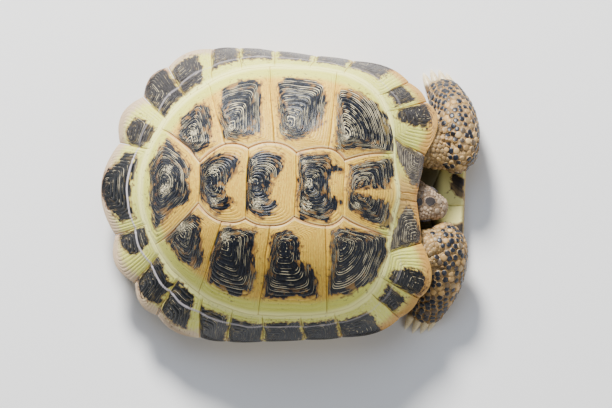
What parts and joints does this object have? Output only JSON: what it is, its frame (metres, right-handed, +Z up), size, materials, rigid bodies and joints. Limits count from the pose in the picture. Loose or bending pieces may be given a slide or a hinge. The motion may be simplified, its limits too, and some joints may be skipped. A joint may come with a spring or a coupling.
{
  "type": "tortoise model",
  "caption": "Life-size adult tortoise at rest on its belly, domed scuted shell, forelegs folded in front, head half drawn in.",
  "frame": {"origin": "centre of the model's footprint box, on the ground plane under the plastron", "axes": "+X towards the head, +Y towards the animal's left, +Z up"},
  "size_m": [0.1884, 0.148, 0.0831],
  "materials": {
    "dome_scute": "satin horn, tan with dark ringed blotches",
    "marginal_scute": "satin horn, pale yellow with dark blocks",
    "plastron_scute": "satin horn, yellow-green with dark blotches",
    "skin": "dry scaly skin, tan with dark scale centres",
    "eye": "wet dark eye"
  },
  "bodies": {
    "root": {"vertebral_1": "dome_scute", "vertebral_2": "dome_scute", "vertebral_3": "dome_scute", "vertebral_4": "dome_scute", "vertebral_5": "dome_scute", "costal_left_1": "dome_scute", "costal_left_2": "dome_scute", "costal_left_3": "dome_scute", "costal_left_4": "dome_scute", "costal_right_1": "dome_scute", "costal_right_2": "dome_scute", "costal_right_3": "dome_scute", "costal_right_4": "dome_scute", "marginal_left_1": "marginal_scute", "marginal_left_2": "marginal_scute", "marginal_left_3": "marginal_scute", "marginal_left_4": "marginal_scute", "marginal_left_5": "marginal_scute", "marginal_left_6": "marginal_scute", "marginal_left_7": "marginal_scute", "marginal_left_8": "marginal_scute", "marginal_left_9": "marginal_scute", "marginal_left_10": "marginal_scute", "marginal_left_11": "marginal_scute", "marginal_right_1": "marginal_scute", "marginal_right_2": "marginal_scute", "marginal_right_3": "marginal_scute", "marginal_right_4": "marginal_scute", "marginal_right_5": "marginal_scute", "marginal_right_6": "marginal_scute", "marginal_right_7": "marginal_scute", "marginal_right_8": "marginal_scute", "marginal_right_9": "marginal_scute", "marginal_right_10": "marginal_scute", "marginal_right_11": "marginal_scute", "nuchal": "marginal_scute", "supracaudal": "marginal_scute", "gular_left": "plastron_scute", "gular_right": "plastron_scute", "humeral_left": "plastron_scute", "humeral_right": "plastron_scute", "pectoral_left": "plastron_scute", "pectoral_right": "plastron_scute", "abdominal_left": "plastron_scute", "abdominal_right": "plastron_scute", "femoral_left": "plastron_scute", "femoral_right": "plastron_scute", "anal_left": "plastron_scute", "anal_right": "plastron_scute", "trunk": "skin", "neck": "skin", "head": "skin", "tail": "skin", "foreleg_left": "skin", "hindleg_left": "skin", "eye_left": "eye", "foreleg_right": "skin", "hindleg_right": "skin", "eye_right": "eye"}
  },
  "joints": []
}
